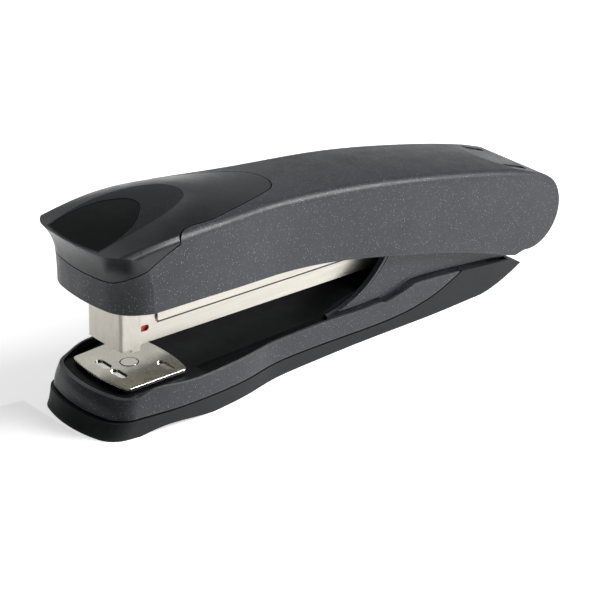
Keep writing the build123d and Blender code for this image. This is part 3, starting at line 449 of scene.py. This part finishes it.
def dress_metals():
    drawn = (0.05, 1.0, 1.0)
    dress(plated_steel("nickel_drawn", NICKEL, NICKEL_DULL, 0.30, drawn), "side_rails")
    channel = plated_steel("nickel_channel", NICKEL, NICKEL_DULL, 0.30, drawn, railed=True)
    dress(channel, "magazine_channel")
    dress(plated_steel("nickel_satin", NICKEL, NICKEL_DULL, 0.42, (1.0, 1.0, 0.3)), "nose_housing")
    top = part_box("anvil_plate")[1].z
    dress(anvil_steel("anvil_satin", ANVIL_NICKEL, NICKEL_DULL, top), "anvil_plate")
    polished = plated_steel("anvil_polished", NICKEL, NICKEL_DULL, 0.2, (1.0, 1.0, 1.0))
    dress(polished, "anvil_rivet", "anvil_button")
    dress(
        plated_steel("zinc_plate", ZINC, scaled(ZINC, 0.8), 0.34, drawn),
        "stiffener_plate",
        "base_screws",
        "hinge_bracket",
        "staple_core",
        "rod_bridge",
        "spring_anchor",
        "spring_seat",
        "handle_frame",
        "frame_screws",
    )
    dress(
        wire_steel("spring_wire", WIRE),
        "pivot_pin",
        "lift_spring",
        "guide_rod",
        "return_spring",
        "driver_blade",
        "blade_rivets",
    )


# ---------------------------------------------------------------- pusher spring
def magazine_point(run, side, rise):
    """The point that lies this far along, across and above the magazine's hinge line."""
    along = Vector((math.cos(TILT), 0.0, -math.sin(TILT)))
    upward = Vector((math.sin(TILT), 0.0, math.cos(TILT)))
    return Vector((PIVOT[0], side, PIVOT[1])) + run * along + rise * upward


def feed_wire():
    """The mesh of the pusher's coil: a wire swept along a helix."""
    line = bpy.data.curves.new("feed_spring", "CURVE")
    line.dimensions = "3D"
    line.bevel_depth = FEED_WIRE
    line.bevel_resolution = 2
    line.use_fill_caps = True
    spline = line.splines.new("POLY")
    steps = FEED_TURNS * FEED_STEPS
    spline.points.add(steps)
    for step, point in enumerate(spline.points):
        run = FEED_RUNS[0] + (FEED_RUNS[1] - FEED_RUNS[0]) * step / steps
        turn = math.tau * step / FEED_STEPS
        rise = FEED_HEIGHT + FEED_RADIUS * math.sin(turn)
        point.co = (*magazine_point(run, FEED_RADIUS * math.cos(turn), rise), 1.0)
    maker = show(bpy.data.objects.new("feed_maker", line))
    bpy.context.view_layer.update()
    ready = maker.evaluated_get(bpy.context.evaluated_depsgraph_get())
    mesh = bpy.data.meshes.new_from_object(ready)
    bpy.data.objects.remove(maker)
    return mesh


def feed_spring():
    """The pusher's coil as a piece of the magazine."""
    mesh = feed_wire()
    mesh.materials.clear()
    mesh.materials.append(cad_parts["return_spring"].data.materials[0])
    piece = show(bpy.data.objects.new("feed_spring", mesh))
    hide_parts("pusher_spring")
    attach(piece, "magazine")
    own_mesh(piece)


# ---------------------------------------------------------------- stage
def sheet(name, corners, height, tree, colour):
    """A flat, level, matte sheet of the stage."""
    mesh = bpy.data.meshes.new(name)
    mesh.from_pydata([(x, y, height) for x, y in corners], [], [list(range(len(corners)))])
    piece = show(bpy.data.objects.new(name, mesh))
    mesh.materials.append(tree.finish(colour, 0.9, tree.bump(tree.noise(0.02), depth=0.1 * MM, strength=0.1)))
    return piece


def floor():
    """A large pale disc that the sole stands on."""
    turns = [math.tau * side / FLOOR_SIDES for side in range(FLOOR_SIDES)]
    rim = [(FLOOR_RADIUS * math.cos(turn), FLOOR_RADIUS * math.sin(turn)) for turn in turns]
    tree = Tree("floor_paper", specular=0.2)
    tone = tree.span(tree.noise(0.3), 0.3, 0.7, 0.93, 0.96)
    tree.put(tree.shader.inputs["Emission Color"], WHITE)
    tree.put(tree.shader.inputs["Emission Strength"], FLOOR_GLOW)
    sheet("floor", rim, cad_low.z, tree, tree.mixed(tone, (0.0, 0.0, 0.0), WHITE))


def black_card(name, outline, stops_light):
    """Black card lying on the floor, seen by reflection; it may also stop the floor's own light."""
    card = sheet(name, outline, cad_low.z + CARD_LIFT, Tree(name, specular=0.0), CARD_BLACK)
    card.visible_camera = False
    card.visible_shadow = False
    card.visible_diffuse = stops_light


def lamps():
    for name, (place, aim, size, power) in LAMPS.items():
        data = bpy.data.lights.new(name, "AREA")
        data.shape = "RECTANGLE"
        data.size, data.size_y = size
        data.energy = power
        lamp = show(bpy.data.objects.new(name, data))
        lamp.location = place
        lamp.rotation_mode = "QUATERNION"
        lamp.rotation_quaternion = (Vector(aim) - Vector(place)).to_track_quat("-Z", "Y")
        lamp.visible_camera = False


def air():
    """Even light all round, and a brighter band low behind the stapler for the tops to reflect."""
    world = bpy.data.worlds.new("studio_air")
    world.use_nodes = True
    nodes = world.node_tree.nodes
    links = world.node_tree.links

    def faded(value, start, end, low, high):
        """value from start to end becomes low to high; low is a socket, or None for 0."""
        node = nodes.new("ShaderNodeMapRange")
        node.inputs["From Min"].default_value = start
        node.inputs["From Max"].default_value = end
        node.inputs["To Max"].default_value = high
        links.new(value, node.inputs["Value"])
        if low is not None:
            links.new(low, node.inputs["To Min"])
        return node.outputs["Result"]

    direction = nodes.new("ShaderNodeTexCoord").outputs["Generated"]
    split = nodes.new("ShaderNodeSeparateXYZ")
    links.new(direction, split.inputs[0])
    facing = nodes.new("ShaderNodeVectorMath")
    facing.operation = "DOT_PRODUCT"
    facing.inputs[1].default_value = BAND_AIM
    links.new(direction, facing.inputs[0])
    band = nodes.new("ShaderNodeMath")
    band.operation = "MULTIPLY_ADD"
    links.new(faded(facing.outputs["Value"], *BAND_FACING, None, BAND_LIGHT), band.inputs[0])
    links.new(faded(split.outputs["Z"], *BAND_HEIGHTS, None, 1.0), band.inputs[1])
    band.inputs[2].default_value = AIR_LIGHT
    seen = nodes.new("ShaderNodeLightPath").outputs["Is Camera Ray"]
    back = nodes["Background"]
    back.inputs["Color"].default_value = (*WHITE, 1.0)
    links.new(faded(seen, 0.0, 1.0, band.outputs[0], 1.0), back.inputs["Strength"])
    bpy.context.scene.world = world


def camera():
    data = bpy.data.cameras.new("camera")
    data.lens = VIEW_LENS
    data.sensor_width = SENSOR_WIDTH
    level = math.cos(VIEW_ELEVATION)
    back = Vector(
        (
            math.sin(VIEW_AZIMUTH) * level,
            -math.cos(VIEW_AZIMUTH) * level,
            math.sin(VIEW_ELEVATION),
        )
    )
    piece = show(bpy.data.objects.new("camera", data))
    piece.location = VIEW_TARGET + back * VIEW_DISTANCE
    piece.rotation_mode = "QUATERNION"
    piece.rotation_quaternion = (-back).to_track_quat("-Z", "Y")
    bpy.context.scene.camera = piece


dress_plastics()
dress_metals()
feed_spring()
floor()
black_card("near_card", NEAR_CARD, stops_light=True)
black_card("far_card", FAR_CARD, stops_light=False)
air()
lamps()
camera()
bpy.context.scene.view_settings.view_transform = "Standard"
